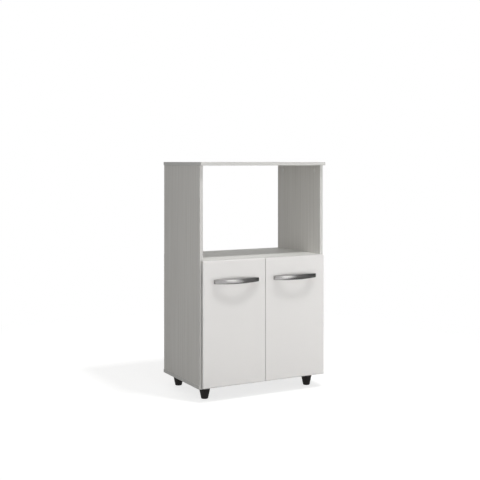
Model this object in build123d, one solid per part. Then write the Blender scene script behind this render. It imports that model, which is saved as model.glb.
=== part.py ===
from build123d import *
import os

# White flat-pack cabinet: an open niche above a cupboard with two doors.
# Millimetres, +Z up, front towards -Y, origin on the floor under the middle of the whole box.
# Pieces of the right half are mirrored from the left.

# Boards
board = 15.0                # thickness of every laminated board
edge_ease = 1.2             # radius on the banded edges of the boards
side_width = 600.0          # over the outer faces of the side panels
side_depth = 360.0
overall_height = 983.0
foot_height = 53.0
side_overhang = 3.0         # top and base boards past the outer faces of the sides
niche_shelf_top = 579.0
back_sheet = 3.0            # hardboard behind the cupboard
back_sheet_inset = 1.0      # from the outer faces of the boards that it covers
hole_ease = 0.1             # looseness of a fitting in its hole, on the radius
screw_ease = 0.3            # the same where a screw only passes through
hole_spare = 0.5            # depth of a blind hole past the end of its fitting

# Doors
door_gap = 2.5              # between the back of a door and the fronts of the sides
meeting_gap = 2.0           # between the two doors
door_edge_inset = 7.0       # outer edge of a door from the outer face of its side
door_bottom = 57.0
door_top = 578.0
door_lip_radius = 5.0       # rolled top and bottom front edges
door_edge_radius = 1.0
door_heel_radius = 2.5      # eased so that the heel clears the side as the door turns
bumper_from_meeting = 15.0
bumper_steps = ((4.5, 1.4), (3.6, 0.8))

# Handles
handle_length = 205.0
handle_screw_pitch = 192.0
handle_projection = 28.0
handle_end_depth = 15.0
handle_end_pad = 10.0       # length of each end that lies on the door
handle_thickness = 7.5
handle_mid_height = 23.0
handle_end_height = 17.0
handle_crown = 21.0         # radius of the rounded face, seen from the end
handle_below_top = 86.0     # centre of the handle under the top edge of the door
handle_shift = 5.5          # towards the meeting edges, from the middle of the door
handle_edge_radius = 2.5
handle_screw = 1.95         # radius
handle_screw_hole = 2.0
handle_screw_bite = 6.0     # depth of the screw in the handle
handle_screw_head = (4.0, 2.2)

# Feet
foot_top_radius = 25.0
foot_bottom_radius = 14.5
foot_lip = 3.0
foot_heel_radius = 2.5
foot_wall = 4.0
foot_ceiling = 4.0
foot_boss_radius = 6.5
foot_boss_lift = 6.0        # lower end of the boss above the floor
foot_ribs = 6
foot_rib = 1.8
foot_seat = 12.0            # screw seat below the base board
foot_from_side = 50.0
foot_from_front = 56.0
foot_from_back = 43.5
foot_screw_head = (4.2, 2.6)
foot_screw = 1.95
foot_screw_bite = 10.0

# Concealed hinges. Their own plane has u from the outer edge of the door towards its middle
# and v from the back of the door into the cupboard.
hinge_from_end = 90.0
cup_radius = 17.5
cup_depth = 12.3
cup_wall = 0.8
cup_centre_u = 20.5
flange = 1.0
flange_rim = 18.3
flange_trim_u = 3.2         # cut short, so that it passes the front of the side
ear_u = cup_centre_u + 6.0
ear_pitch = 48.0
ear_radius = 5.5
ear_hole = 1.9
cup_screw_head = (3.3, 1.3)
cup_screw = 1.6
cup_screw_bite = 10.0
cheek = 1.5                 # two ears inside the cup that hold the pin
cheek_clearance = 0.3
cheek_top_v = -6.9
cheek_end_u = 9.8
pin_u = 7.0
pin_v = -9.2
pin_radius = 1.5
pin_half = 7.0
running_fit = 0.05
eye_radius = 2.1
strap = 2.0
strap_half = 5.0
strap_bend = 3.0
arm_u = 18.2                # near face of the arm's back run
arm_half = 7.0
arm_body_start = 7.0
arm_end = 64.0
arm_web = 1.5
arm_web_u = 12.8            # free edges of the arm's two webs
arm_screw_lines = (22.0, 50.0)
arm_slot = (2.0, 5.2)       # travel and width
arm_screw_head = (4.3, 2.2)
arm_screw = 2.3
arm_screw_bite = 5.5
driver_slot = (1.2, 1.0)    # width and depth, in the heads of the arm's screws
driver_slot_reach = 3.2     # half its length
rail_run = (12.0, 62.0)
rail_ease = 0.2             # between the rail and the webs of the arm
wing = 2.2
wing_length = 50.0
wing_width = 18.0
plate_screw_v = 39.5
plate_screw_pitch = 32.0
plate_screw_head = (3.7, 1.9)
plate_screw = 1.75
plate_screw_bite = 11.5

# Knock-down fittings
cam_radius = 7.5
cam_depth = 12.5
cam_from_end = 24.0
cam_lines = (45.0, 315.0)   # behind the front edges of the sides
cam_cross = (6.5, 1.6)      # length and width of the driver recess
cam_cover_steps = ((8.6, 0.7), (7.9, 0.3))
bolt_head = (3.4, 3.0)
bolt_neck = (2.0, 5.0)
bolt_shank = 3.4
bolt_hole = 4.0
bolt_thread_radius = 2.5
bolt_thread = 10.5
dowel_lines = (110.0, 250.0)
dowel_radius = 4.0
dowel_length = 30.0
dowel_in_face = 10.0

# Nails of the hardboard
nail_shank = (0.8, 13.0)
nail_head = (2.0, 0.5)
nail_rows = 6
nail_columns = 4

# Inner shelf
shelf_hole_pitch = 32.0
shelf_hole_radius = 2.5
shelf_hole_depth = 9.0
shelf_pin_lines = (50.0, 300.0)
shelf_pin_reach = 8.0
shelf_pin_height = 315.0
inner_shelf_setback = 12.0
inner_shelf_gap = 1.0       # at each end and at the back of the shelf

# Planes and places that follow from the sizes above
door_thickness = board
face_offset = door_gap + door_thickness
overall_depth = handle_projection + face_offset + side_depth + back_sheet + nail_head[1]
front_y = -overall_depth / 2 + handle_projection + face_offset
back_y = front_y + side_depth
sheet_back_y = back_y + back_sheet
door_back_y = front_y - door_gap
door_face_y = front_y - face_offset
outer_x = side_width / 2
inner_x = outer_x - board
base_top = foot_height + board
top_under = overall_height - board
shelf_under = niche_shelf_top - board
base_mid_z = foot_height + board / 2
shelf_mid_z = niche_shelf_top - board / 2
door_outer_x = outer_x - door_edge_inset
door_width = door_outer_x - meeting_gap / 2
door_mid_x = (door_outer_x + meeting_gap / 2) / 2
door_mid_y = (door_back_y + door_face_y) / 2
hinge_heights = (door_bottom + hinge_from_end, door_top - hinge_from_end)
handle_x = door_mid_x - handle_shift
handle_z = door_top - handle_below_top
panel_u = board - door_edge_inset
foot_x = outer_x - foot_from_side
foot_front_y = front_y + foot_from_front
foot_back_y = back_y - foot_from_back
foot_places = {
    "foot_front_left": (-foot_x, foot_front_y),
    "foot_front_right": (foot_x, foot_front_y),
    "foot_back_left": (-foot_x, foot_back_y),
    "foot_back_right": (foot_x, foot_back_y),
}
sides = {"left": -1, "right": 1}
halves = (-1, 1)
upright = (Align.CENTER, Align.CENTER, Align.MIN)


# Shapes that many pieces share

def block(x_range, y_range, z_range):
    """A box between two planes each way."""
    lows = [min(span) for span in (x_range, y_range, z_range)]
    highs = [max(span) for span in (x_range, y_range, z_range)]
    middle = [(low + high) / 2 for low, high in zip(lows, highs)]
    size = [high - low for low, high in zip(lows, highs)]
    return Pos(*middle) * Box(*size)


def rod(start, direction, radius, length):
    """A round bar that starts at a point and runs along a direction."""
    plane = Plane(origin=start, z_dir=direction)
    return plane * Cylinder(radius, length, align=upright)


def along(start, direction, distance):
    """The point at a distance from a start point."""
    point = Vector(*start) + Vector(*direction) * distance
    return (point.X, point.Y, point.Z)


def turned(start, direction, steps):
    """A turned piece: steps of (radius, length), one after another."""
    travelled = 0.0
    pieces = []
    for radius, length in steps:
        pieces.append(rod(along(start, direction, travelled), direction, radius, length))
        travelled += length
    return pieces[0] + pieces[1:]


def prism(outline, low, high):
    """A flat outline in the XY plane, raised between two heights."""
    return extrude(Pos(0, 0, low) * outline, high - low)


def mirrored(piece, side):
    """A piece drawn on the left, put on the side that it belongs to."""
    return mirror(piece, Plane.YZ) if side > 0 else piece


def group(pieces):
    """Separate solids that share one node."""
    return Compound(children=list(pieces))


def touches(first, second):
    """True where two bounding boxes meet."""
    a = first.bounding_box()
    b = second.bounding_box()
    apart_x = a.min.X > b.max.X or b.min.X > a.max.X
    apart_y = a.min.Y > b.max.Y or b.min.Y > a.max.Y
    apart_z = a.min.Z > b.max.Z or b.min.Z > a.max.Z
    return not (apart_x or apart_y or apart_z)


def drill(panel, cuts):
    """Cut only the holes that reach a panel."""
    return panel - [cut for cut in cuts if touches(cut, panel)]


def ease_front(panel):
    """Round the two long front edges of a shelf."""
    front_edges = panel.edges().filter_by(Axis.X).sort_by(Axis.Y)[:2]
    return fillet(front_edges, edge_ease)


# Joints of the carcass. Each is the point where two boards meet and the direction
# from the board that holds the cam into the other one, with its side of the cabinet.

def carcass_joints(lines):
    """Joints of both sides with the top, the base and the niche shelf."""
    joints = []
    for side in sides.values():
        for y in [front_y + line for line in lines]:
            mid_x = side * (outer_x - board / 2)
            joints.append(((mid_x, y, top_under), (0, 0, 1), side))
            joints.append(((mid_x, y, base_top), (0, 0, -1), side))
            joints.append(((side * inner_x, y, shelf_mid_z), (side, 0, 0), side))
    return joints


def cam_mouth(joint):
    """Centre of the cam on the face of its board, and the direction into the board."""
    point, direction, side = joint
    x, y, z = along(point, direction, -cam_from_end)
    if direction[2]:
        return (side * inner_x, y, z), (side, 0, 0)
    return (x, y, shelf_under), (0, 0, 1)


def joint_holes():
    """Cam bores, bolt holes and dowel holes of every joint."""
    cuts = []
    for joint in carcass_joints(cam_lines):
        point, direction, _ = joint
        cuts.append(rod(*cam_mouth(joint), cam_radius + hole_ease, cam_depth))
        cuts.append(rod(along(point, direction, -cam_from_end), direction, bolt_hole, cam_from_end))
        cuts.append(rod(point, direction, bolt_thread_radius, bolt_thread + hole_spare))
    for point, direction, _ in carcass_joints(dowel_lines):
        start = along(point, direction, dowel_in_face - dowel_length - hole_spare)
        cuts.append(rod(start, direction, dowel_radius, dowel_length + 2 * hole_spare))
    return cuts


def cam_lock(joint):
    """Drum with a channel for the bolt's head and a cross recess on its face."""
    mouth, into = cam_mouth(joint)
    direction = joint[1]
    drum = rod(mouth, into, cam_radius, cam_depth - hole_spare)
    channel_start = along(along(mouth, into, board / 2), direction, -bolt_head[1] - hole_spare)
    channel = rod(channel_start, direction, bolt_hole, 2 * cam_radius)
    face = Plane(origin=mouth, x_dir=direction, z_dir=into)
    length, width = cam_cross
    cross = [face * Box(length, width, width, align=upright),
             face * Box(width, length, width, align=upright)]
    return drum - channel - cross


def cam_bolt(joint):
    """Headed bolt from the middle of the cam into the next board."""
    point, direction, _ = joint
    start = along(point, direction, -cam_from_end - bolt_head[1])
    shank = (bolt_shank, cam_from_end - bolt_neck[1])
    thread = (bolt_thread_radius - hole_ease, bolt_thread)
    return turned(start, direction, (bolt_head, bolt_neck, shank, thread))


def cam_cover(joint):
    """Snap-on cap over the mouth of a cam bore."""
    mouth, into = cam_mouth(joint)
    outwards = tuple(-part for part in into)
    return turned(mouth, outwards, cam_cover_steps)


def wood_dowel(joint):
    """Beech dowel with most of its length in the end of a board."""
    point, direction, _ = joint
    start = along(point, direction, dowel_in_face - dowel_length)
    return rod(start, direction, dowel_radius - hole_ease, dowel_length)


# Hardboard and its nails

def nail_points():
    """Points on the back of the hardboard, over the middle of the boards behind it."""
    edge_x = outer_x - board / 2
    rise = (shelf_under - base_top) / nail_rows
    heights = [base_top + rise * (row + 0.5) for row in range(nail_rows)]
    run = 2 * inner_x / nail_columns
    columns = [-inner_x + run * (column + 0.5) for column in range(nail_columns)]
    up_sides = [(half * edge_x, sheet_back_y, z) for z in heights for half in halves]
    across = [(x, sheet_back_y, z) for x in columns for z in (base_mid_z, shelf_mid_z)]
    return up_sides + across


def nail_holes():
    """Holes of the nails, through the hardboard and into the boards."""
    radius, length = nail_shank
    return [rod(point, (0, -1, 0), radius, length) for point in nail_points()]


def back_nails():
    """Flat-headed nails."""
    pieces = []
    for point in nail_points():
        pieces.append(turned(along(point, (0, 1, 0), nail_head[1]), (0, -1, 0), (nail_head, nail_shank)))
    return group(pieces)


def back_panel():
    """Hardboard over the backs of the base, the sides and the niche shelf."""
    half = outer_x - back_sheet_inset
    heights = (foot_height + back_sheet_inset, niche_shelf_top - back_sheet_inset)
    return drill(block((-half, half), (back_y, sheet_back_y), heights), nail_holes())


# Boards of the carcass

def top_panel():
    """Top board, flush with the faces of the doors and eased all round."""
    half = outer_x + side_overhang
    panel = block((-half, half), (door_face_y, back_y), (top_under, overall_height))
    return drill(fillet(panel.edges(), edge_ease), joint_holes())


def base_panel():
    """Base board, flush with the fronts of the sides so that the doors lie over its edge."""
    half = outer_x + side_overhang
    panel = block((-half, half), (front_y, back_y), (foot_height, base_top))
    screw_holes = [rod((x, y, foot_height), (0, 0, 1), foot_screw, foot_screw_bite + hole_spare)
                   for x, y in foot_places.values()]
    return drill(fillet(panel.edges(), edge_ease), joint_holes() + nail_holes() + screw_holes)


def niche_shelf():
    """Fixed floor of the niche."""
    panel = block((-inner_x, inner_x), (front_y, back_y), (shelf_under, niche_shelf_top))
    return drill(ease_front(panel), joint_holes() + nail_holes())


def side_panel(side):
    """Upright side, eased in front and drilled on its inner face."""
    outline = Rectangle(board, side_depth)
    outline = fillet(outline.vertices().sort_by(Axis.Y)[:2], edge_ease)
    middle = Pos(side * (outer_x - board / 2), (front_y + back_y) / 2)
    panel = prism(middle * outline, base_top, top_under)
    pin_holes = [rod((side * inner_x, y, z), (side, 0, 0), shelf_hole_radius, shelf_hole_depth)
                 for y, z in shelf_hole_places()]
    hinge_holes = [rod((side * inner_x, y, z), (side, 0, 0), plate_screw, plate_screw_bite + hole_spare)
                   for y, z in plate_screw_places()]
    return drill(panel, joint_holes() + nail_holes() + pin_holes + hinge_holes)


def shelf_hole_places():
    """Three heights for the inner shelf, at each of its two lines."""
    heights = [shelf_pin_height + shelf_hole_pitch * step for step in (-1, 0, 1)]
    return [(front_y + line, z) for line in shelf_pin_lines for z in heights]


def plate_screw_places():
    """Screws of the hinge plates on the inner face of a side."""
    y = door_back_y + plate_screw_v
    return [(y, z + half * plate_screw_pitch / 2) for z in hinge_heights for half in halves]


def inner_shelf():
    """Loose shelf that lies on four pins."""
    low = shelf_pin_height + shelf_hole_radius
    half = inner_x - inner_shelf_gap
    depth = (front_y + inner_shelf_setback, back_y - inner_shelf_gap)
    return ease_front(block((-half, half), depth, (low, low + board)))


def shelf_pins():
    """Pins with a collar that rests against the side."""
    in_hole = shelf_hole_depth - hole_spare
    steps = ((shelf_hole_radius - hole_ease, in_hole), (shelf_hole_radius, shelf_pin_reach))
    pins = []
    for side in sides.values():
        for line in shelf_pin_lines:
            start = (side * (inner_x + in_hole), front_y + line, shelf_pin_height)
            pins.append(turned(start, (-side, 0, 0), steps))
    return group(pins)


# Feet

def foot(place):
    """Moulded foot: a tapered cup, open below, with a screw boss held by ribs."""
    profile = Polyline((0, 0), (foot_bottom_radius, 0), (foot_top_radius, foot_height - foot_lip),
                       (foot_top_radius, foot_height), (0, foot_height), close=True)
    outline = make_face(profile)
    heel = outline.vertices().sort_by_distance((foot_bottom_radius, 0))[0]
    body = revolve(Plane.XZ * fillet(heel, foot_heel_radius), Axis.Z)
    ceiling = foot_height - foot_ceiling
    flare = (foot_top_radius - foot_bottom_radius) / (foot_height - foot_lip) * ceiling
    hollow = Cone(foot_bottom_radius - foot_wall, foot_bottom_radius - foot_wall + flare,
                  ceiling, align=upright)
    boss = rod((0, 0, foot_boss_lift), (0, 0, 1), foot_boss_radius, ceiling - foot_boss_lift)
    rib = block((0, foot_top_radius), (-foot_rib / 2, foot_rib / 2), (foot_boss_lift, ceiling))
    ribs = [Rot(0, 0, 360 / foot_ribs * step) * rib for step in range(foot_ribs)]
    body -= hollow - (boss + ribs)
    body -= rod((0, 0, 0), (0, 0, 1), foot_screw + screw_ease, foot_height)
    body -= rod((0, 0, 0), (0, 0, 1), foot_screw_head[0] + screw_ease, foot_height - foot_seat)
    return Pos(*place, 0) * body


def foot_screws():
    """Pan-head screws up through the feet into the base board."""
    low = foot_height - foot_seat - foot_screw_head[1]
    steps = (foot_screw_head, (foot_screw, foot_seat + foot_screw_bite))
    return group(turned((x, y, low), (0, 0, 1), steps) for x, y in foot_places.values())


# Concealed hinges, drawn in their own plane with z from the middle of the hinge

def hinge_cup():
    """Drawn steel cup with its flange and two cheeks that hold the pin."""
    axis = Plane(origin=(cup_centre_u, 0, 0), x_dir=(1, 0, 0), z_dir=(0, -1, 0))
    ears = [Pos(ear_u - cup_centre_u, half * ear_pitch / 2) * Circle(ear_radius) for half in halves]
    rim = make_hull(Circle(flange_rim).edges() + ears[0].edges() + ears[1].edges())
    trim = block((flange_trim_u, ear_u + cup_radius), (0, flange), (-ear_pitch, ear_pitch))
    plate = (axis * Pos(0, 0, -flange) * extrude(rim, flange)) & trim
    cup = axis * Cylinder(cup_radius, cup_depth, align=upright) + plate
    bowl = Cylinder(cup_radius - cup_wall, cup_depth - cup_wall + flange, align=upright)
    cup -= axis * Pos(0, 0, -flange) * bowl
    inside = axis * Cylinder(cup_radius - cup_wall / 2, cup_depth - cup_wall / 2, align=upright)
    near = strap_half + cheek_clearance
    for half in halves:
        ear = block((flange_trim_u, cheek_end_u), (-cup_depth, cheek_top_v),
                    (half * near, half * (near + cheek)))
        cup += ear & inside
        cup -= rod((ear_u, flange, half * ear_pitch / 2), (0, -1, 0), ear_hole, flange)
    return [cup - hinge_pin()]


def hinge_pin():
    """Pin across the cup, between its cheeks."""
    return [rod((pin_u, pin_v, -pin_half), (0, 0, 1), pin_radius, 2 * pin_half)]


def hinge_arm():
    """Cranked arm: an eye on the pin, a strap out of the cup and a channel over the plate."""
    low = pin_v - strap / 2
    far = arm_u + strap
    crank = Polyline((pin_u, low), (far, low), (far, arm_end), (arm_u, arm_end),
                     (arm_u, low + strap), (pin_u, low + strap), close=True)
    outline = make_face(crank)
    bend = outline.vertices().sort_by_distance((far, low))[0]
    outline = fillet(bend, strap_bend) + Pos(pin_u, pin_v) * Circle(eye_radius)
    arm = prism(outline, -strap_half, strap_half)
    body_run = (arm_body_start, arm_end)
    arm += block((arm_u, far), body_run, (-arm_half, arm_half))
    for half in halves:
        arm += block((arm_web_u, arm_u), body_run, (half * (arm_half - arm_web), half * arm_half))
    arm -= rod((pin_u, pin_v, -arm_half), (0, 0, 1), pin_radius + running_fit, 2 * arm_half)
    for v in arm_screw_lines:
        slot_plane = Plane(origin=(arm_u, v, 0), x_dir=(0, 1, 0), z_dir=(1, 0, 0))
        arm -= slot_plane * extrude(SlotCenterToCenter(*arm_slot), strap)
    return [arm]


def hinge_plate():
    """Mounting plate: a rail under the arm and two wings screwed to the side."""
    rail_half = arm_half - arm_web - rail_ease
    rail = block((panel_u, arm_u), rail_run, (-rail_half, rail_half))
    wing_plane = Plane(origin=(panel_u, plate_screw_v, 0), x_dir=(0, 0, 1), z_dir=(1, 0, 0))
    plate = rail + wing_plane * extrude(SlotOverall(wing_length, wing_width), wing)
    for half in halves:
        point = (panel_u, plate_screw_v, half * plate_screw_pitch / 2)
        plate -= rod(point, (1, 0, 0), plate_screw + screw_ease, wing)
    for v in arm_screw_lines:
        plate -= rod((arm_u, v, 0), (-1, 0, 0), arm_screw + hole_ease, arm_screw_bite + hole_spare)
    return [plate]


def plate_screws():
    """Chipboard screws through the wings."""
    head_u = panel_u + wing + plate_screw_head[1]
    steps = (plate_screw_head, (plate_screw, wing + plate_screw_bite))
    return [turned((head_u, plate_screw_v, half * plate_screw_pitch / 2), (-1, 0, 0), steps)
            for half in halves]


def arm_screws():
    """Slotted fixing and adjusting screws through the arm."""
    width, depth = driver_slot
    head_u = arm_u + strap + arm_screw_head[1]
    steps = (arm_screw_head, (arm_screw, strap + arm_screw_bite))
    screws = []
    for v in arm_screw_lines:
        slot = block((head_u - depth, head_u), (v - driver_slot_reach, v + driver_slot_reach),
                     (-width / 2, width / 2))
        screws.append(turned((head_u, v, 0), (-1, 0, 0), steps) - slot)
    return screws


def cup_screws():
    """Screws through the ears of the flange into the door."""
    steps = (cup_screw_head, (cup_screw, flange + cup_screw_bite))
    return [turned((ear_u, flange + cup_screw_head[1], half * ear_pitch / 2), (0, -1, 0), steps)
            for half in halves]


def on_hinges(make, side):
    """The pieces that a function draws, at both hinges of one door."""
    places = [Pos(-door_outer_x, door_back_y, height) for height in hinge_heights]
    return [mirrored(place * piece, side) for place in places for piece in make()]


# Doors and what is fixed to them

def door_blank():
    """Left door before boring, with rolled top and bottom front edges and an eased heel."""
    section = Rectangle(door_thickness, door_top - door_bottom)
    section = fillet(section.vertices().sort_by(Axis.X)[:2], door_lip_radius)
    across = Plane(origin=(-door_outer_x, door_mid_y, (door_bottom + door_top) / 2),
                   x_dir=(0, 1, 0), z_dir=(1, 0, 0))
    plan = Rectangle(door_width, door_thickness)
    plan = fillet(plan.vertices().sort_by(Axis.Y)[:2], door_edge_radius)
    heel = plan.vertices().sort_by_distance((-door_width / 2, door_thickness / 2))[0]
    plan = Pos(-door_mid_x, door_mid_y) * fillet(heel, door_heel_radius)
    return extrude(across * section, door_width) & prism(plan, door_bottom, door_top)


def door(side):
    """Overlay door, bored for its hinges and its handle."""
    cuts = []
    for height in hinge_heights:
        place = Pos(-door_outer_x, door_back_y, height)
        cuts.append(place * rod((cup_centre_u, 0, 0), (0, -1, 0), cup_radius + hole_ease,
                                cup_depth + hole_ease))
        cuts += [place * rod((ear_u, 0, half * ear_pitch / 2), (0, -1, 0), cup_screw,
                             cup_screw_bite + hole_spare) for half in halves]
    cuts += [rod((x, door_back_y, handle_z), (0, -1, 0), handle_screw_head[0] / 2 + hole_ease,
                 door_thickness) for x in handle_screw_xs()]
    return mirrored(door_blank() - cuts, side)


def handle_screw_xs():
    """Screw axes of the left handle."""
    return [-handle_x + half * handle_screw_pitch / 2 for half in halves]


def handle(side):
    """Bow handle: a crescent in plan and a lens from the front, with a crowned face."""
    half = handle_length / 2
    pad = half - handle_end_pad
    plan = [Line((-half, 0), (-half, -handle_end_depth)),
            ThreePointArc((-half, -handle_end_depth), (0, -handle_projection),
                          (half, -handle_end_depth)),
            Line((half, -handle_end_depth), (half, 0)),
            Line((half, 0), (pad, 0)),
            ThreePointArc((pad, 0), (0, handle_thickness - handle_projection), (-pad, 0)),
            Line((-pad, 0), (-half, 0))]
    mid = handle_mid_height / 2
    end = handle_end_height / 2
    lens = [ThreePointArc((-half, end), (0, mid), (half, end)),
            Line((half, end), (half, -end)),
            ThreePointArc((half, -end), (0, -mid), (-half, -end)),
            Line((-half, -end), (-half, end))]
    front_view = Plane(origin=(0, 0, 0), x_dir=(1, 0, 0), z_dir=(0, -1, 0))
    bow = prism(make_face(plan), -mid, mid)
    bow &= extrude(front_view * make_face(lens), handle_projection)
    rise = handle_projection - handle_end_depth
    bow_radius = (half ** 2 + rise ** 2) / (2 * rise)
    bow &= Pos(0, bow_radius - handle_projection) * Torus(bow_radius - handle_crown, handle_crown)
    crowned_face = bow.faces().filter_by(GeomType.TORUS)[0]
    bow = fillet(crowned_face.edges(), handle_edge_radius)
    for x in (-handle_screw_pitch / 2, handle_screw_pitch / 2):
        bow -= rod((x, 0, 0), (0, -1, 0), handle_screw_hole, handle_screw_bite + hole_spare)
    return mirrored(Pos(-handle_x, door_face_y, handle_z) * bow, side)


def handle_screws(side):
    """Machine screws from the back of the door into the ends of the handle."""
    steps = (handle_screw_head, (handle_screw, door_thickness + handle_screw_bite))
    head_y = door_back_y + handle_screw_head[1]
    screws = [turned((x, head_y, handle_z), (0, -1, 0), steps) for x in handle_screw_xs()]
    return group(mirrored(screw, side) for screw in screws)


def door_bumpers(side):
    """Soft pads at the free corners of a door, against the niche shelf and the base board."""
    heights = (base_mid_z + hole_spare, shelf_mid_z)
    pads = [turned((-bumper_from_meeting, door_back_y, z), (0, 1, 0), bumper_steps) for z in heights]
    return group(mirrored(pad, side) for pad in pads)


# Nodes

carcass = {
    "top_panel": top_panel(),
    "base_panel": base_panel(),
    "niche_shelf": niche_shelf(),
    "inner_shelf": inner_shelf(),
    "back_panel": back_panel(),
    "back_nails": back_nails(),
    "cam_locks": group(cam_lock(joint) for joint in carcass_joints(cam_lines)),
    "cam_bolts": group(cam_bolt(joint) for joint in carcass_joints(cam_lines)),
    "cam_covers": group(cam_cover(joint) for joint in carcass_joints(cam_lines)),
    "wood_dowels": group(wood_dowel(joint) for joint in carcass_joints(dowel_lines)),
    "shelf_pins": shelf_pins(),
    "foot_screws": foot_screws(),
}
feet = {name: foot(place) for name, place in foot_places.items()}
handed = {
    "side_panel": side_panel,
    "door": door,
    "handle": handle,
    "handle_screws": handle_screws,
    "door_bumpers": door_bumpers,
}
hinge_pieces = {
    "hinge_cups": hinge_cup,
    "hinge_pins": hinge_pin,
    "hinge_arms": hinge_arm,
    "hinge_plates": hinge_plate,
    "cup_screws": cup_screws,
    "arm_screws": arm_screws,
    "plate_screws": plate_screws,
}

nodes = {**carcass, **feet}
for side_name, side_sign in sides.items():
    for piece_name, make_piece in handed.items():
        nodes[side_name + "_" + piece_name] = make_piece(side_sign)
    for piece_name, make_piece in hinge_pieces.items():
        nodes[side_name + "_" + piece_name] = group(on_hinges(make_piece, side_sign))

os.makedirs("parts", exist_ok=True)
for node_name, shape in nodes.items():
    export_step(shape, "parts/" + node_name + ".step")
print(len(nodes), "nodes written")
print("left door turns about x", -door_outer_x + pin_u, "y", door_back_y + pin_v)
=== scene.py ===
import math
import bpy
from mathutils import Matrix, Vector


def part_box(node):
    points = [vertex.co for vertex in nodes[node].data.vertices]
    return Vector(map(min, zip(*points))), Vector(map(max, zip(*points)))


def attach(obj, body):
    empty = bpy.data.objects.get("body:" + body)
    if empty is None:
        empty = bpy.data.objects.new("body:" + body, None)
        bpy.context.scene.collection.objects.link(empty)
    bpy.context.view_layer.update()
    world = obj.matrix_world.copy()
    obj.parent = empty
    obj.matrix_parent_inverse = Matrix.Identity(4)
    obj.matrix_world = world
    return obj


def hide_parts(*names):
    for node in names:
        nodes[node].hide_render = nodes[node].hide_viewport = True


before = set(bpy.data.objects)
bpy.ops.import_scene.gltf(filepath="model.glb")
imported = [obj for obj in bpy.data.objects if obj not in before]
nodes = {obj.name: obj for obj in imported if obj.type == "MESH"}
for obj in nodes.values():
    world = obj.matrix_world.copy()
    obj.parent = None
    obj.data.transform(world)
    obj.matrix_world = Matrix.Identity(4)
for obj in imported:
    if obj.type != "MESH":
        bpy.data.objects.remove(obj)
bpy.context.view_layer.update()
hands = ("left", "right")
mm = 0.001
print("frame loaded:", len(nodes), "nodes")


# Helpers for colours, things and node trees

def linearColour(hexColour):
    parts = [int(hexColour[i:i + 2], 16) / 255 for i in (1, 3, 5)]
    curved = [part / 12.92 if part <= 0.04045 else ((part + 0.055) / 1.055) ** 2.4 for part in parts]
    return (*curved, 1.0)


def addThing(name, data):
    thing = bpy.data.objects.new(name, data)
    bpy.context.scene.collection.objects.link(thing)
    return thing


def clearTree(holder):
    holder.use_nodes = True
    holder.node_tree.nodes.clear()
    return holder.node_tree


def addNode(tree, kind, inputs=None, **settings):
    # an input goes by its name or number, and takes a value, a socket, a node's first
    # live output, or a list of these
    node = tree.nodes.new(kind)
    for name, value in settings.items():
        setattr(node, name, value)
    for key, value in (inputs or {}).items():
        named = [socket for socket in node.inputs if socket.enabled and socket.name == key]
        socket = named[0] if named else node.inputs[key]
        for source in value if isinstance(value, list) else [value]:
            if isinstance(source, bpy.types.Node):
                source = next(output for output in source.outputs if output.enabled)
            if isinstance(source, bpy.types.NodeSocket):
                tree.links.new(source, socket)
            else:
                socket.default_value = source
    return node


def stretch(value, source, target=(0.0, 1.0)):
    # inputs that take a value from one range to another
    return {"Value": value, "From Min": source[0], "From Max": source[1],
            "To Min": target[0], "To Max": target[1]}


def relief(height, bump):
    # inputs for a bump, given its depth in millimetres and its strength
    depth, strength = bump
    return {"Height": height, "Distance": depth * mm, "Strength": strength}


# Materials

patchEdge = {
    # the part of a pattern's range over which one finish turns into the other
    "soft": (0.3, 0.7),
    "clear": (0.35, 0.65),
}


def newMaterial(name):
    material = bpy.data.materials.new(name)
    tree = clearTree(material)
    return material, tree, addNode(tree, "ShaderNodeTexCoord").outputs["Object"]


def finishMaterial(material, inputs):
    tree = material.node_tree
    shader = addNode(tree, "ShaderNodeBsdfPrincipled", inputs)
    addNode(tree, "ShaderNodeOutputMaterial", {"Surface": shader})
    return material


def mottle(tree, place, sizes, detail, roughness=0.55):
    # a cloudy pattern whose patches measure sizes (x, y, z) in millimetres
    scale = tuple(1 / (size * mm) for size in sizes)
    mapped = addNode(tree, "ShaderNodeMapping", {"Vector": place, "Scale": scale})
    return addNode(tree, "ShaderNodeTexNoise", {
        "Vector": mapped, "Scale": 1.0, "Detail": detail, "Roughness": roughness})


def mottledFinish(tree, pattern, recipe):
    # colour and roughness wander together
    share = addNode(tree, "ShaderNodeMapRange", stretch(pattern, patchEdge["clear"]))
    first, second = (linearColour(shade) for shade in recipe["shades"])
    colour = addNode(tree, "ShaderNodeMix", {"Factor": share, "A": first, "B": second}, data_type="RGBA")
    roughness = addNode(tree, "ShaderNodeMapRange", stretch(
        pattern, patchEdge["soft"], recipe["roughness"]))
    return {"Base Color": colour, "Roughness": roughness}


laminate = {
    "colour": "#dad9d6",
    "streak": "#d6d5d1",
    "sideColour": "#d8d6d2",
    "sideStreak": "#cfcdc8",
    "bandColour": "#cac9c6",
    "seam": "#b3b1ac",
    "roughness": (0.54, 0.62),
    "streakSizes": (7.0, 420.0),    # mm across and along the grain
    "streakEdge": (0.36, 0.66),
    "poreSizes": (0.7, 14.0),
    "poreEdge": (0.42, 0.60),
    "poreBump": (0.05, 0.5),    # depth in mm, strength
    "band": 1.0,                # thickness of the edge band
    "bandSeam": 0.3,            # its glue line, drawn wide enough to show
    "ior": 1.5,
}


def alongGrain(sizes, grainAxis):
    across, along = sizes
    return tuple(along if axis == grainAxis else across for axis in range(3))


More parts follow.
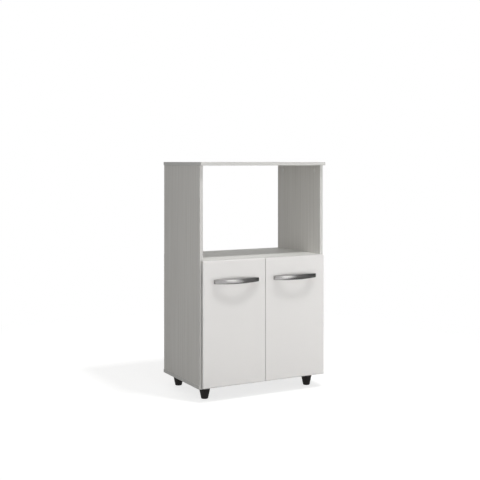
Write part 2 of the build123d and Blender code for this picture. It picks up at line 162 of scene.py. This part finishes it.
def distanceToBands(tree, place, bandPlanes):
    # distance to the nearest banded edge; the left and right ends are a pair
    split = addNode(tree, "ShaderNodeSeparateXYZ", {"Vector": place})
    nearest = None
    for axisName, plane in bandPlanes:
        spot = split.outputs[axisName]
        if axisName == "X":
            spot = addNode(tree, "ShaderNodeMath", {0: spot}, operation="ABSOLUTE")
        past = addNode(tree, "ShaderNodeMath", {0: spot, 1: plane}, operation="SUBTRACT")
        away = addNode(tree, "ShaderNodeMath", {0: past}, operation="ABSOLUTE")
        if nearest is None:
            nearest = away
        else:
            nearest = addNode(tree, "ShaderNodeMath", {0: nearest, 1: away}, operation="MINIMUM")
    return nearest


def laminatedBoard(name, grainAxis, colour, streak, bandPlanes):
    # Melamine paper pressed on particleboard with a wood-pore plate: an even white
    # with faint long streaks, a soft sheen, and a smooth band round its edges
    material, tree, place = newMaterial(name)
    streaks = mottle(tree, place, alongGrain(laminate["streakSizes"], grainAxis), detail=5.0)
    streakShare = addNode(tree, "ShaderNodeMapRange", stretch(streaks, laminate["streakEdge"]))
    paper = addNode(tree, "ShaderNodeMix", {
        "Factor": streakShare, "A": linearColour(colour), "B": linearColour(streak)}, data_type="RGBA")
    distance = distanceToBands(tree, place, bandPlanes)
    band = laminate["band"] * mm
    seam = laminate["bandSeam"] * mm
    onBand = addNode(tree, "ShaderNodeMath", {0: distance, 1: band}, operation="LESS_THAN")
    pastSeam = addNode(tree, "ShaderNodeMath", {0: distance, 1: band}, operation="SUBTRACT")
    offSeam = addNode(tree, "ShaderNodeMath", {0: pastSeam}, operation="ABSOLUTE")
    seamShare = addNode(tree, "ShaderNodeMapRange", stretch(offSeam, (seam / 2, seam), (1.0, 0.0)))
    banded = addNode(tree, "ShaderNodeMix", {
        "Factor": onBand, "A": paper, "B": linearColour(laminate["bandColour"])}, data_type="RGBA")
    glued = addNode(tree, "ShaderNodeMix", {
        "Factor": seamShare, "A": banded, "B": linearColour(laminate["seam"])}, data_type="RGBA")
    pores = mottle(tree, place, alongGrain(laminate["poreSizes"], grainAxis), detail=2.0)
    sharpPores = addNode(tree, "ShaderNodeMapRange", stretch(pores, laminate["poreEdge"]))
    offBand = addNode(tree, "ShaderNodeMath", {0: 1.0, 1: onBand}, operation="SUBTRACT")
    boardPores = addNode(tree, "ShaderNodeMath", {0: sharpPores, 1: offBand}, operation="MULTIPLY")
    return finishMaterial(material, {
        "Base Color": glued,
        "Roughness": addNode(tree, "ShaderNodeMapRange", stretch(
            streaks, patchEdge["soft"], laminate["roughness"])),
        "Normal": addNode(tree, "ShaderNodeBump", relief(boardPores, laminate["poreBump"])),
        "IOR": laminate["ior"]})


lacquer = {
    "colour": "#dfdddb",
    "backColour": "#d9d8d4",
    "roughness": (0.29, 0.36),
    "backRoughness": 0.5,
    "backSkin": 0.3,            # mm from the back that count as the back
    "cloudSize": 120.0,
    "peelSize": 2.2,
    "peelBump": (0.012, 0.6),   # depth in mm, strength
    "ior": 1.5,
}


def lacquered(name, back):
    # White lacquer sprayed on board: smooth, semi-gloss, with the soft orange peel of
    # a sprayed coat; the back keeps its matt laminate
    material, tree, place = newMaterial(name)
    depth = addNode(tree, "ShaderNodeSeparateXYZ", {"Vector": place}).outputs["Y"]
    onBack = addNode(tree, "ShaderNodeMath", {
        0: depth, 1: back - lacquer["backSkin"] * mm}, operation="GREATER_THAN")
    cloud = mottle(tree, place, (lacquer["cloudSize"],) * 3, detail=2.0)
    sheen = addNode(tree, "ShaderNodeMapRange", stretch(cloud, patchEdge["soft"], lacquer["roughness"]))
    front, behind = linearColour(lacquer["colour"]), linearColour(lacquer["backColour"])
    peel = mottle(tree, place, (lacquer["peelSize"],) * 3, detail=1.5)
    return finishMaterial(material, {
        "Base Color": addNode(tree, "ShaderNodeMix", {
            "Factor": onBack, "A": front, "B": behind}, data_type="RGBA"),
        "Roughness": addNode(tree, "ShaderNodeMix", {
            "Factor": onBack, "A": sheen, "B": lacquer["backRoughness"]}),
        "Normal": addNode(tree, "ShaderNodeBump", relief(peel, lacquer["peelBump"])),
        "IOR": lacquer["ior"]})


metals = {
    # grain sizes in mm, bumps as a depth in mm and a strength
    "satinNickel": {"shades": ("#9e9d9c", "#a6a5a4"), "roughness": (0.14, 0.19),
                    "grain": (90.0, 1.4, 1.4), "bump": (0.002, 0.4)},
    "pressedSteel": {"shades": ("#a8a49c", "#c2bfb8"), "roughness": (0.20, 0.32),
                     "grain": (6.0, 6.0, 6.0), "bump": (0.01, 0.4)},
    "zincPlate": {"shades": ("#a4a8ae", "#c3c6c9"), "roughness": (0.28, 0.42),
                  "grain": (1.2, 1.2, 1.2), "bump": (0.01, 0.4)},
    "castZinc": {"shades": ("#7d7f83", "#9a9c9f"), "roughness": (0.45, 0.6),
                 "grain": (0.8, 0.8, 0.8), "bump": (0.03, 0.4)},
}


def metalFinish(name):
    # satinNickel: cast, brushed along its length and plated, so highlights smear across it;
    # its brush lines are drawn about five times too coarse, so that they show
    # pressedSteel: nickel-plated strip, bright with a warm tint and soft die marks
    # zincPlate: small turned fittings, bluish and a little cloudy
    # castZinc: raw die casting, dull and grainy
    recipe = metals[name]
    material, tree, place = newMaterial(name)
    grain = mottle(tree, place, recipe["grain"], detail=3.0)
    return finishMaterial(material, {
        **mottledFinish(tree, grain, recipe),
        "Normal": addNode(tree, "ShaderNodeBump", relief(grain, recipe["bump"])),
        "Metallic": 1.0})


plastics = {
    # cloud and grain sizes in mm, bumps as a depth in mm and a strength
    "footAbs": {"shades": ("#0f0c0c", "#151110"), "roughness": (0.64, 0.74), "cloud": 25.0,
                "grain": 0.8, "bump": (0.03, 0.5), "ior": 1.53, "shine": 0.3},
    "capPolystyrene": {"shades": ("#d5d4d0", "#dddcd9"), "roughness": (0.35, 0.45), "cloud": 25.0,
                       "grain": 1.5, "bump": (0.01, 0.5), "ior": 1.55, "shine": 0.5},
}


def mouldedPlastic(name):
    # footAbs: brown-black ABS from a spark-eroded mould, a fine satin grain
    # capPolystyrene: thin white caps, smooth with a slight sink
    recipe = plastics[name]
    material, tree, place = newMaterial(name)
    grain = mottle(tree, place, (recipe["grain"],) * 3, detail=2.0)
    cloud = mottle(tree, place, (recipe["cloud"],) * 3, detail=3.0)
    return finishMaterial(material, {
        **mottledFinish(tree, cloud, recipe),
        "Normal": addNode(tree, "ShaderNodeBump", relief(grain, recipe["bump"])),
        "IOR": recipe["ior"],
        "Specular IOR Level": recipe["shine"]})


pads = {
    "colour": "#e9ecec",
    "roughness": (0.18, 0.3),
    "haze": 3.0,                # mm
    "clearness": 0.6,
    "ior": 1.5,
}


def clearPolyurethane():
    # Soft cast pads: milky and clear, they take the colour of the door behind
    material, tree, place = newMaterial("clearPolyurethane")
    haze = mottle(tree, place, (pads["haze"],) * 3, detail=2.0)
    return finishMaterial(material, {
        "Base Color": linearColour(pads["colour"]),
        "Roughness": addNode(tree, "ShaderNodeMapRange", stretch(
            haze, patchEdge["soft"], pads["roughness"])),
        "IOR": pads["ior"],
        "Transmission Weight": pads["clearness"]})


hardboard = {
    "light": "#8a6a4a",
    "dark": "#6d5037",
    "fleck": "#4f3826",
    "paint": "#d6d5d1",
    "roughness": (0.62, 0.75),
    "cloud": 90.0,              # mm
    "fibre": 1.6,
    "fibreStretch": 4,          # how many times longer than wide a fibre is
    "fleckEdge": (0.58, 0.72),
    "fleckShare": 0.7,
    "screen": 1.5,              # mm between the wires of the mesh that the wet side was pressed on
    "screenBump": (0.08, 0.35),
    "ior": 1.5,
}


def pressedHardboard(middlePlane):
    # Wet-pressed fibreboard: brown and flecked with the print of its wire screen behind,
    # painted white on the face that shows inside
    material, tree, place = newMaterial("pressedHardboard")
    split = addNode(tree, "ShaderNodeSeparateXYZ", {"Vector": place}).outputs
    behind = addNode(tree, "ShaderNodeMath", {0: split["Y"], 1: middlePlane}, operation="GREATER_THAN")
    cloud = mottle(tree, place, (hardboard["cloud"],) * 3, detail=6.0, roughness=0.65)
    cloudShare = addNode(tree, "ShaderNodeMapRange", stretch(cloud, patchEdge["clear"]))
    fibre = hardboard["fibre"]
    fibres = mottle(tree, place, (fibre * hardboard["fibreStretch"], fibre, fibre), detail=4.0)
    fleckShare = addNode(tree, "ShaderNodeMapRange", stretch(
        fibres, hardboard["fleckEdge"], (0.0, hardboard["fleckShare"])))
    dark, light = linearColour(hardboard["dark"]), linearColour(hardboard["light"])
    brown = addNode(tree, "ShaderNodeMix", {"Factor": cloudShare, "A": dark, "B": light}, data_type="RGBA")
    flecked = addNode(tree, "ShaderNodeMix", {
        "Factor": fleckShare, "A": brown, "B": linearColour(hardboard["fleck"])}, data_type="RGBA")
    colour = addNode(tree, "ShaderNodeMix", {
        "Factor": behind, "A": linearColour(hardboard["paint"]), "B": flecked}, data_type="RGBA")
    roughness = addNode(tree, "ShaderNodeMapRange", stretch(
        fibres, patchEdge["soft"], hardboard["roughness"]))
    turns = 2 * math.pi / (hardboard["screen"] * mm)
    waves = []
    for spot in (split["X"], split["Z"]):
        angle = addNode(tree, "ShaderNodeMath", {0: spot, 1: turns}, operation="MULTIPLY")
        waves.append(addNode(tree, "ShaderNodeMath", {0: angle}, operation="SINE"))
    crossed = addNode(tree, "ShaderNodeMath", {0: waves[0], 1: waves[1]}, operation="ADD")
    screen = addNode(tree, "ShaderNodeMath", {0: crossed, 1: behind}, operation="MULTIPLY")
    return finishMaterial(material, {
        "Base Color": colour,
        "Roughness": roughness,
        "Normal": addNode(tree, "ShaderNodeBump", relief(screen, hardboard["screenBump"])),
        "IOR": hardboard["ior"]})


beech = {
    "shades": ("#d2b48a", "#b8935f"),
    "roughness": (0.55, 0.7),
    "fleck": (1.8, 1.8, 30.0),  # mm
    "ior": 1.5,
}


def turnedBeech():
    # Dry turned beech: pale, with short darker flecks along its grain
    material, tree, place = newMaterial("turnedBeech")
    grain = mottle(tree, place, beech["fleck"], detail=4.0)
    return finishMaterial(material, {**mottledFinish(tree, grain, beech), "IOR": beech["ior"]})


def paint(nodeName, material):
    data = nodes[nodeName].data
    data.materials.clear()
    data.materials.append(material)


def bandedEdges(nodeName):
    # the front edge and the two ends
    low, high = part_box(nodeName)
    return [("Y", low.y), ("X", high.x)]


sideFront = [("Y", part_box("left_side_panel")[0].y)]
innerFront = [("Y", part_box("inner_shelf")[0].y)]
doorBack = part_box("left_door")[1].y
backLow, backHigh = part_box("back_panel")

levelGrain = (0, laminate["colour"], laminate["streak"])                # along X
uprightGrain = (2, laminate["sideColour"], laminate["sideStreak"])      # along Z
boards = {
    "top_panel": laminatedBoard("laminateTop", *levelGrain, bandedEdges("top_panel")),
    "base_panel": laminatedBoard("laminateBase", *levelGrain, bandedEdges("base_panel")),
    "niche_shelf": laminatedBoard("laminateNiche", *levelGrain, sideFront),
    "inner_shelf": laminatedBoard("laminateShelf", *levelGrain, innerFront),
    "left_side_panel": laminatedBoard("laminateSide", *uprightGrain, sideFront),
}
boards["right_side_panel"] = boards["left_side_panel"]
doorFinish = lacquered("sprayedLacquer", doorBack)
finishes = {name: metalFinish(name) for name in metals}
finishes.update({name: mouldedPlastic(name) for name in plastics})
finishes["bumper"] = clearPolyurethane()
finishes["beech"] = turnedBeech()
finishes["hardboard"] = pressedHardboard((backLow.y + backHigh.y) / 2)

for boardName, boardMaterial in boards.items():
    paint(boardName, boardMaterial)
paint("back_panel", finishes["hardboard"])
paint("shelf_pins", finishes["pressedSteel"])
paint("cam_locks", finishes["castZinc"])
paint("cam_bolts", finishes["zincPlate"])
paint("cam_covers", finishes["capPolystyrene"])
paint("wood_dowels", finishes["beech"])
for footName in [name for name in nodes if name.startswith("foot_") and name != "foot_screws"]:
    paint(footName, finishes["footAbs"])
for hand in hands:
    paint(hand + "_door", doorFinish)
    paint(hand + "_handle", finishes["satinNickel"])
    paint(hand + "_door_bumpers", finishes["bumper"])
    paint(hand + "_arm_screws", finishes["zincPlate"])
    for pressed in ("hinge_cups", "hinge_pins", "hinge_arms", "hinge_plates"):
        paint(hand + "_" + pressed, finishes["pressedSteel"])
print("materials made:", len(bpy.data.materials))


# Screws and nails, made where the CAD has their plain solids

def solidBoxes(nodeName):
    # low and high corners of each separate solid in a CAD node
    mesh = nodes[nodeName].data
    parent = {}

    def root(key):
        while parent[key] != key:
            parent[key] = parent[parent[key]]
            key = parent[key]
        return key

    keys = [tuple(round(part, 6) for part in vertex.co) for vertex in mesh.vertices]
    for key in keys:
        parent[key] = key
    for face in mesh.polygons:
        first = root(keys[face.vertices[0]])
        for index in face.vertices[1:]:
            parent[root(keys[index])] = first
    corners = {}
    for key in set(keys):
        corners.setdefault(root(key), []).append(key)
    boxes = []
    for points in corners.values():
        low = Vector(min(point[axis] for point in points) for axis in range(3))
        high = Vector(max(point[axis] for point in points) for axis in range(3))
        boxes.append((low, high))
    return sorted(boxes, key=lambda pair: tuple(pair[0]))


facings = {
    # Euler turns that take +Z to the way a head looks, and the axis along the shank
    "towardsBack": {"turns": (-math.pi / 2, 0.0, 0.0), "axis": 1},
    "towardsRight": {"turns": (0.0, math.pi / 2, 0.0), "axis": 0},
    "towardsLeft": {"turns": (0.0, -math.pi / 2, 0.0), "axis": 0},
    "down": {"turns": (math.pi, 0.0, 0.0), "axis": 2},
}


def headPoints(nodeName, facing):
    # the middle of each head's outer face
    turns = facings[facing]["turns"]
    turned = Matrix.Rotation(turns[1], 3, "Y") @ Matrix.Rotation(turns[0], 3, "X")
    outward = turned @ Vector((0, 0, 1))
    points = []
    for low, high in solidBoxes(nodeName):
        middle = (low + high) / 2
        half = (high - low) / 2
        reach = sum(abs(outward[axis]) * half[axis] for axis in range(3))
        points.append(tuple(middle + outward * reach))
    return points


def lengthAndRadius(nodeName, facing):
    low, high = solidBoxes(nodeName)[0]
    size = high - low
    shankAxis = facings[facing]["axis"]
    across = [size[axis] for axis in range(3) if axis != shankAxis]
    return size[shankAxis], max(across) / 2


def newTree(name, inputs):
    # each input is named, and typed by the value that it will get
    tree = bpy.data.node_groups.new(name, "GeometryNodeTree")
    tree.interface.new_socket(name="Geometry", in_out="OUTPUT", socket_type="NodeSocketGeometry")
    tree.interface.new_socket(name="Points", in_out="INPUT", socket_type="NodeSocketGeometry")
    kinds = {float: "NodeSocketFloat", int: "NodeSocketInt", tuple: "NodeSocketVector",
             bpy.types.Material: "NodeSocketMaterial"}
    for label, value in inputs.items():
        tree.interface.new_socket(name=label, in_out="INPUT", socket_type=kinds[type(value)])
    return tree, addNode(tree, "NodeGroupInput").outputs


def turnedBody(tree, given, profile, rings):
    # a bar along -Z whose radius follows a profile of (share of length, share of radius)
    depth = addNode(tree, "ShaderNodeMath", {0: given["Length"], 1: -1.0}, operation="MULTIPLY")
    line = addNode(tree, "GeometryNodeCurvePrimitiveLine", {
        "End": addNode(tree, "ShaderNodeCombineXYZ", {"Z": depth})})
    points = addNode(tree, "GeometryNodeResampleCurve", {"Curve": line, "Count": rings})
    shape = addNode(tree, "ShaderNodeFloatCurve", {"Value": addNode(tree, "GeometryNodeSplineParameter")})
    curve = shape.mapping.curves[0]
    while len(curve.points) < len(profile):
        curve.points.new(0.5, 0.5)
    for point, place in zip(curve.points, profile):
        point.location = place
        point.handle_type = "VECTOR"
    shape.mapping.update()
    radius = addNode(tree, "ShaderNodeMath", {0: shape, 1: given["Radius"]}, operation="MULTIPLY")
    sized = addNode(tree, "GeometryNodeSetCurveRadius", {"Curve": points, "Radius": radius})
    circle = addNode(tree, "GeometryNodeCurvePrimitiveCircle", {
        "Resolution": given["Sides"], "Radius": 1.0})
    return addNode(tree, "GeometryNodeCurveToMesh", {
        "Curve": sized, "Profile Curve": circle, "Scale": radius, "Fill Caps": True})


def crossCutter(tree, given):
    # two crossed bars for the driver
    size = addNode(tree, "ShaderNodeCombineXYZ", {
        "X": given["Recess length"], "Y": given["Recess width"], "Z": given["Recess depth"]})
    bar = addNode(tree, "GeometryNodeMeshCube", {"Size": size})
    return [addNode(tree, "GeometryNodeTransform", {"Geometry": bar, "Rotation": (0, 0, turn)})
            for turn in (0.0, math.pi / 2)]


def threadAround(tree, given):
    # one helical ridge of triangular section, from under the head almost to the tip
    share = addNode(tree, "ShaderNodeMath", {0: given["Thread end"], 1: given["Thread start"]},
                    operation="SUBTRACT")
    height = addNode(tree, "ShaderNodeMath", {0: given["Length"], 1: share}, operation="MULTIPLY")
    turns = addNode(tree, "ShaderNodeMath", {0: height, 1: given["Pitch"]}, operation="DIVIDE")
    spiral = addNode(tree, "GeometryNodeCurveSpiral", {
        "Resolution": given["Thread steps"], "Rotations": turns, "Start Radius": given["Core radius"],
        "End Radius": given["Core radius"], "Height": height})
    ridge = addNode(tree, "GeometryNodeCurvePrimitiveCircle", {
        "Resolution": 3, "Radius": given["Thread depth"]})
    swept = addNode(tree, "GeometryNodeCurveToMesh", {
        "Curve": spiral, "Profile Curve": ridge, "Fill Caps": True})
    end = addNode(tree, "ShaderNodeMath", {
        0: given["Length"], 1: given["Thread end"]}, operation="MULTIPLY")
    down = addNode(tree, "ShaderNodeMath", {0: end, 1: -1.0}, operation="MULTIPLY")
    return addNode(tree, "GeometryNodeTransform", {
        "Geometry": swept, "Translation": addNode(tree, "ShaderNodeCombineXYZ", {"Z": down})})


def scatterOn(tree, given, piece):
    # the piece on every point, turned to its direction and spun by chance about its own axis
    angle = addNode(tree, "FunctionNodeRandomValue", {
        "Min": 0.0, "Max": 2 * math.pi, "Seed": given["Seed"]}, data_type="FLOAT")
    spin = addNode(tree, "FunctionNodeAxisAngleToRotation", {"Axis": (0, 0, 1), "Angle": angle})
    facing = addNode(tree, "FunctionNodeEulerToRotation", {"Euler": given["Direction"]})
    turned = addNode(tree, "FunctionNodeRotateRotation", {"Rotation": facing, "Rotate By": spin},
                     rotation_space="LOCAL")
    placed = addNode(tree, "GeometryNodeInstanceOnPoints", {
        "Points": given["Points"], "Instance": piece, "Rotation": turned})
    realized = addNode(tree, "GeometryNodeRealizeInstances", {"Geometry": placed})
    faceted = addNode(tree, "GeometryNodeSetShadeSmooth", {"Geometry": realized, "Shade Smooth": False})
    plated = addNode(tree, "GeometryNodeSetMaterial", {"Geometry": faceted, "Material": given["Material"]})
    addNode(tree, "NodeGroupOutput", {"Geometry": plated})


def turnedTree(name, inputs, profile, rings, crosshead):
    tree, given = newTree(name, inputs)
    piece = turnedBody(tree, given, profile, rings)
    if crosshead:
        cut = addNode(tree, "GeometryNodeMeshBoolean", {
            "Mesh 1": piece, "Mesh 2": crossCutter(tree, given)},
            operation="DIFFERENCE", solver="MANIFOLD")
        piece = addNode(tree, "GeometryNodeJoinGeometry", {"Geometry": [cut, threadAround(tree, given)]})
    scatterOn(tree, given, piece)
    return tree


def runTree(tree, pieceName, values, cadNode, facing, body):
    # runs the tree on the points of the heads and keeps the plain mesh that it makes
    seedMesh = bpy.data.meshes.new(pieceName)
    seedMesh.from_pydata(headPoints(cadNode, facing), [], [])
    piece = addThing(pieceName, seedMesh)
    modifier = piece.modifiers.new("made", "NODES")
    modifier.node_group = tree
    for socket in tree.interface.items_tree:
        if socket.in_out == "INPUT" and socket.name in values:
            modifier[socket.identifier] = values[socket.name]
    graph = bpy.context.evaluated_depsgraph_get()
    made = bpy.data.meshes.new_from_object(piece.evaluated_get(graph))
    piece.modifiers.clear()
    piece.data = made
    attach(piece, body)
    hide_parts(cadNode)
    print(pieceName, "faces", len(made.polygons))


screw = {
    # the head's profile, in shares of its height and radius
    "head": ((0.0, 0.62), (0.25, 0.86), (0.6, 1.0), (1.0, 1.0)),
    "neck": 0.01,               # shares of the length
    "threadGap": 0.03,
    "taperFrom": 0.90,
    "threadEnd": 0.94,
    "shank": 0.75,              # shares of the shank's radius, which the thread fills up
    "core": 0.72,
    "tip": 0.05,                # shares of the head's radius
    "recessLength": 1.16,
    "recessWidth": 0.32,
    "pitch": 1.6,               # mm
    "threadDepth": 0.45,
    "threadSteps": 16,          # points in a turn
    "sides": 28,
    "rings": 60,
    "seed": 7,
}


def makeScrews(cadNode, facing, sizes, body):
    headHeight, shankRadius = (size * mm for size in sizes)
    length, radius = lengthAndRadius(cadNode, facing)
    headShare = headHeight / length
    shankShare = shankRadius * screw["shank"] / radius
    values = {
        "Length": length, "Radius": radius, "Sides": screw["sides"],
        "Pitch": screw["pitch"] * mm, "Core radius": shankRadius * screw["core"],
        "Thread depth": screw["threadDepth"] * mm, "Thread start": headShare + screw["threadGap"],
        "Thread end": screw["threadEnd"], "Thread steps": screw["threadSteps"],
        "Recess length": radius * screw["recessLength"], "Recess width": radius * screw["recessWidth"],
        "Recess depth": headHeight,
        "Direction": facings[facing]["turns"], "Seed": screw["seed"], "Material": finishes["zincPlate"],
    }
    profile = [
        *((headShare * depth, share) for depth, share in screw["head"]),
        (headShare + screw["neck"], shankShare),
        (screw["taperFrom"], shankShare),
        (1.0, screw["tip"])]
    pieceName = cadNode + "_crosshead"
    tree = turnedTree(pieceName, values, profile, screw["rings"], crosshead=True)
    runTree(tree, pieceName, values, cadNode, facing, body)


screwSizes = {
    # head height and shank radius in mm, as the CAD solids have them
    "cup": (1.3, 1.6),
    "handle": (2.2, 1.95),
    "plate": (1.9, 1.75),
    "foot": (2.6, 1.95),
}
for hand in hands:
    for use in ("cup", "handle"):
        makeScrews(f"{hand}_{use}_screws", "towardsBack", screwSizes[use], hand + "_leaf")
    inward = "towardsRight" if hand == "left" else "towardsLeft"
    makeScrews(hand + "_plate_screws", inward, screwSizes["plate"], "carcass")
makeScrews("foot_screws", "down", screwSizes["foot"], "carcass")

nail = {
    # head, shank and point, in shares of the length and of the head's radius
    "profile": [(0.0, 0.8), (0.012, 0.98), (0.035, 1.0), (0.045, 0.4), (0.93, 0.38), (1.0, 0.03)],
    "sides": 18,
    "rings": 80,
    "seed": 3,
}


def makeNails(cadNode, facing):
    length, radius = lengthAndRadius(cadNode, facing)
    values = {
        "Length": length, "Radius": radius, "Sides": nail["sides"],
        "Direction": facings[facing]["turns"], "Seed": nail["seed"], "Material": finishes["zincPlate"],
    }
    tree = turnedTree("flatNails", values, nail["profile"], nail["rings"], crosshead=False)
    runTree(tree, cadNode + "_flat", values, cadNode, facing, "carcass")


makeNails("back_nails", "towardsBack")
print("screws and nails made")


# Studio: floor, world, lamps and camera

studio = {
    "floorSize": 40.0,
    "floorColour": "#acacab",
    "floorLift": 0.725,         # added white where the camera or a reflection sees the floor
    "floorFade": (0.9, 2.0),    # from here to there the floor turns into the white background
    "worldLight": 0.30,
    "lampTarget": (0.0, -0.1, 0.55),
}
lamps = {
    # places and sizes in metres, powers in watts
    "key": {"place": (-0.3, -3.3, 0.5), "size": 1.0, "power": 33.0},
    "rightFill": {"place": (1.6, -1.5, 0.3), "size": 0.6, "power": 11.5},
    "leftFill": {"place": (-1.3, -0.6, 0.95), "size": 0.8, "power": 2.3},
    "overhead": {"place": (0.23, -0.95, 3.33), "size": 0.25, "power": 44.0},
    "backFill": {"place": (0.6, 3.2, 1.3), "size": 1.6, "power": 32.0},
}
cards = {
    # studio cards that only shiny pieces see: a corner, two edges and the light they give
    "window": {
        "corner": (1.75, -9.0, 0.0), "edges": ((1.95, 0.9, 0.0), (0.0, 0.0, 5.0)), "light": 2.3},
    "windowFloor": {
        "corner": (0.2, -1.6, 0.002), "edges": ((0.35, 0.15, 0.0), (1.0, -2.7, 0.0)), "light": 2.1},
    "darkWall": {
        "corner": (2.06, -3.62, 0.0), "edges": ((1.88, 4.12, 0.0), (0.0, 0.0, 3.0)), "light": 0.3},
    "darkCorner": {
        "corner": (2.3, -2.1, 0.0), "edges": ((0.65, 1.4, 0.0), (0.0, 0.0, 3.0)), "light": 0.15},
    "darkFloor": {
        "corner": (2.06, -3.62, 0.002), "edges": ((1.88, 4.12, 0.0), (-1.8, 3.0, 0.0)), "light": 0.26},
    "nearFloor": {
        "corner": (-0.28, -0.2, 0.002), "edges": ((1.0, 0.0, 0.0), (0.0, -0.42, 0.0)), "light": 0.12},
}


def seenRay(tree):
    # 1 where the camera, a reflection or a clear pad looks
    path = addNode(tree, "ShaderNodeLightPath").outputs
    seen = addNode(tree, "ShaderNodeMath", {
        0: path["Is Camera Ray"], 1: path["Is Glossy Ray"]}, operation="MAXIMUM")
    return addNode(tree, "ShaderNodeMath", {0: seen, 1: path["Is Transmission Ray"]}, operation="MAXIMUM")


def makeFloor():
    # White studio floor; a view from under it looks straight through
    half = studio["floorSize"] / 2
    mesh = bpy.data.meshes.new("floor")
    corners = [(-half, -half, 0), (half, -half, 0), (half, half, 0), (-half, half, 0)]
    mesh.from_pydata(corners, [], [(0, 1, 2, 3)])
    floor = addThing("floor", mesh)
    material, tree, place = newMaterial("studioFloor")
    seen = seenRay(tree)
    lift = addNode(tree, "ShaderNodeMath", {0: seen, 1: studio["floorLift"]}, operation="MULTIPLY")
    matt = addNode(tree, "ShaderNodeBsdfDiffuse", {"Color": linearColour(studio["floorColour"])})
    glow = addNode(tree, "ShaderNodeEmission", {"Strength": lift})
    lit = addNode(tree, "ShaderNodeAddShader", {0: matt, 1: glow})
    away = addNode(tree, "ShaderNodeVectorMath", {0: place}, operation="LENGTH")
    fade = addNode(tree, "ShaderNodeMapRange", stretch(away, studio["floorFade"]))
    far = addNode(tree, "ShaderNodeMath", {0: fade, 1: seen}, operation="MULTIPLY")
    white = addNode(tree, "ShaderNodeEmission", {"Strength": 1.0})
    faded = addNode(tree, "ShaderNodeMixShader", {0: far, 1: lit, 2: white})
    clear = addNode(tree, "ShaderNodeBsdfTransparent")
    under = addNode(tree, "ShaderNodeNewGeometry").outputs["Backfacing"]
    both = addNode(tree, "ShaderNodeMixShader", {0: under, 1: faded, 2: clear})
    addNode(tree, "ShaderNodeOutputMaterial", {"Surface": both})
    mesh.materials.append(material)


def makeWorld():
    world = bpy.data.worlds.new("studio")
    bpy.context.scene.world = world
    tree = clearTree(world)
    strength = addNode(tree, "ShaderNodeMapRange", stretch(
        seenRay(tree), (0.0, 1.0), (studio["worldLight"], 1.0)))
    light = addNode(tree, "ShaderNodeBackground", {"Color": (1, 1, 1, 1), "Strength": strength})
    addNode(tree, "ShaderNodeOutputWorld", {"Surface": light})


def makeCard(name, recipe):
    corner = Vector(recipe["corner"])
    across, up = (Vector(edge) for edge in recipe["edges"])
    mesh = bpy.data.meshes.new(name)
    mesh.from_pydata([corner, corner + across, corner + across + up, corner + up], [], [(0, 1, 2, 3)])
    card = addThing(name, mesh)
    material = bpy.data.materials.new(name)
    tree = clearTree(material)
    glow = addNode(tree, "ShaderNodeEmission", {"Strength": recipe["light"]})
    addNode(tree, "ShaderNodeOutputMaterial", {"Surface": glow})
    mesh.materials.append(material)
    card.visible_camera = False
    card.visible_diffuse = False
    card.visible_transmission = False
    card.visible_shadow = False


def makeLamp(name, recipe):
    lamp = bpy.data.lights.new(name, "AREA")
    lamp.shape = "SQUARE"
    lamp.size = recipe["size"]
    lamp.energy = recipe["power"]
    thing = addThing(name, lamp)
    thing.location = recipe["place"]
    aim = Vector(studio["lampTarget"]) - thing.location
    thing.rotation_euler = aim.to_track_quat("-Z", "Y").to_euler()
    thing.visible_glossy = False    # shiny pieces show the cards instead


cameraFit = {
    # fitted to the edges of the boards in the photograph
    "place": (-1.9336, -3.5317, 0.983),
    "turn": -28.36,             # degrees
    "lens": 68.81,              # mm
    "sensor": 36.0,
    "horizonRow": 161.95,       # of 480 rows
    "rows": 480.0,
}


def makeCamera():
    camera = bpy.data.cameras.new("photoView")
    camera.lens = cameraFit["lens"]
    camera.sensor_width = cameraFit["sensor"]
    camera.shift_y = (cameraFit["horizonRow"] - cameraFit["rows"] / 2) / cameraFit["rows"]
    thing = addThing("photoView", camera)
    thing.location = cameraFit["place"]
    thing.rotation_euler = (math.pi / 2, 0.0, math.radians(cameraFit["turn"]))
    bpy.context.scene.camera = thing


makeFloor()
makeWorld()
for cardName, cardRecipe in cards.items():
    makeCard(cardName, cardRecipe)
for lampName, lampRecipe in lamps.items():
    makeLamp(lampName, lampRecipe)
makeCamera()
bpy.context.scene.view_settings.view_transform = "Standard"
print("studio made")
